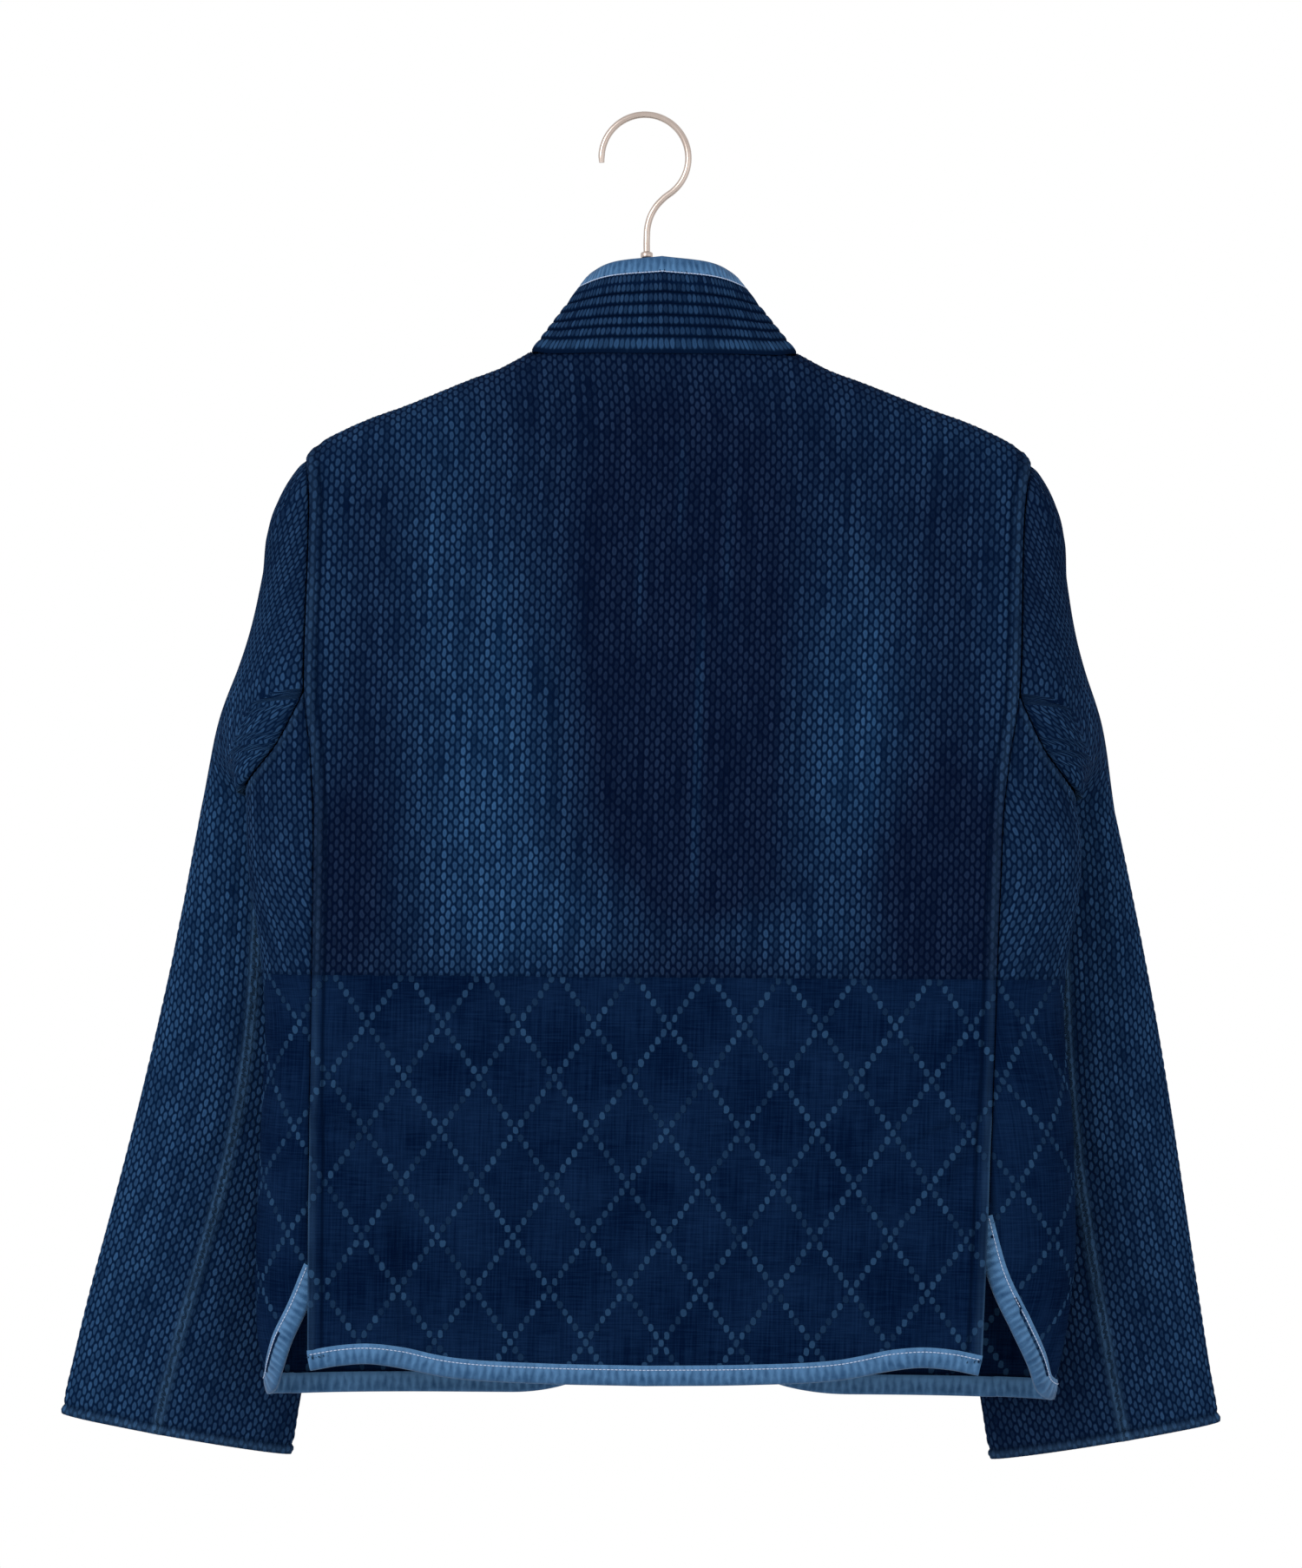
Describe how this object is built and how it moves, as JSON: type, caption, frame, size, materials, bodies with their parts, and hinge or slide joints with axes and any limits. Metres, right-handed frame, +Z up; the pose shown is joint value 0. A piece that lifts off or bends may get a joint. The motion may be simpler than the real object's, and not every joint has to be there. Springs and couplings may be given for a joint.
{
  "type": "sashiko jacket on a hanger",
  "caption": "Short open-front jacket of indigo rice-grain sashiko cloth with a quilted stand collar and taped edges, hung on a wooden hanger with a steel hook.",
  "frame": {"origin": "inside top of the hanger's hook, where a rail carries it", "axes": "+Z up, -Y the side that the jacket's back faces, +X the wearer's right"},
  "size_m": [0.7175, 0.1368, 0.829],
  "materials": {
    "indigo_sashiko": "matte raised rice-grain weave, faded unevenly",
    "quilted_indigo": "matte, stitched in close rows",
    "faded_tape": "matte, washed pale along the folds",
    "steel": "satin drawn wire",
    "wood": "smooth waxed"
  },
  "bodies": {
    "root": {"back_panel": "indigo_sashiko", "front_left": "indigo_sashiko", "front_right": "indigo_sashiko", "sleeve_left": "indigo_sashiko", "sleeve_right": "indigo_sashiko", "collar": "quilted_indigo", "collar_binding": "faded_tape", "back_hem_binding": "faded_tape", "front_binding_left": "faded_tape", "front_binding_right": "faded_tape", "hanger_hook": "steel", "hanger_neck": "steel", "hanger_arms": "wood"}
  },
  "joints": []
}
